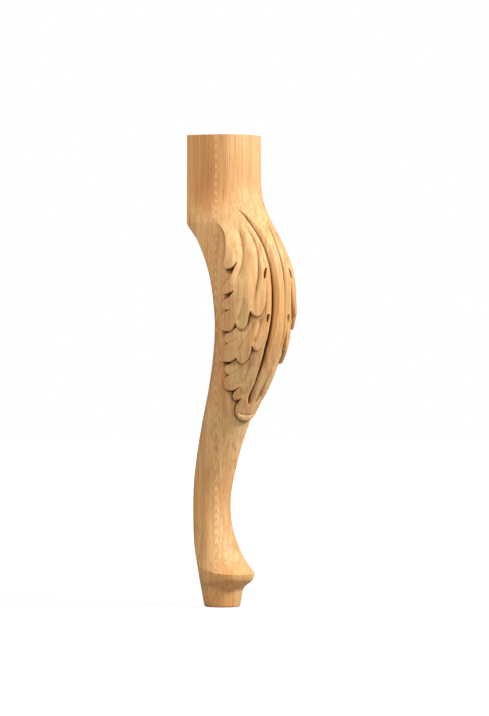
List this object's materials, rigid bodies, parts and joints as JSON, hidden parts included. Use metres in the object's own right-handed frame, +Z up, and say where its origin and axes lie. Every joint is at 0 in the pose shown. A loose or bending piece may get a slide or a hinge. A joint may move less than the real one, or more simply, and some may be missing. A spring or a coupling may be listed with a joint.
{
  "type": "carved chair leg",
  "caption": "Cabriole chair leg of solid oak: square block for the rails, knee carved with acanthus leaflets about a rib, slim ankle and pad foot.",
  "frame": {"origin": "centre of the round sole, on the floor", "axes": "+Z up the leg; the knee and the toe point along the outward diagonal, +X with -Y; the rail faces look along -X and +Y"},
  "size_m": [0.0997, 0.0997, 0.43],
  "materials": {
    "oak": "sanded, bare or matt oiled"
  },
  "bodies": {
    "root": {"leg": "oak"}
  },
  "joints": []
}
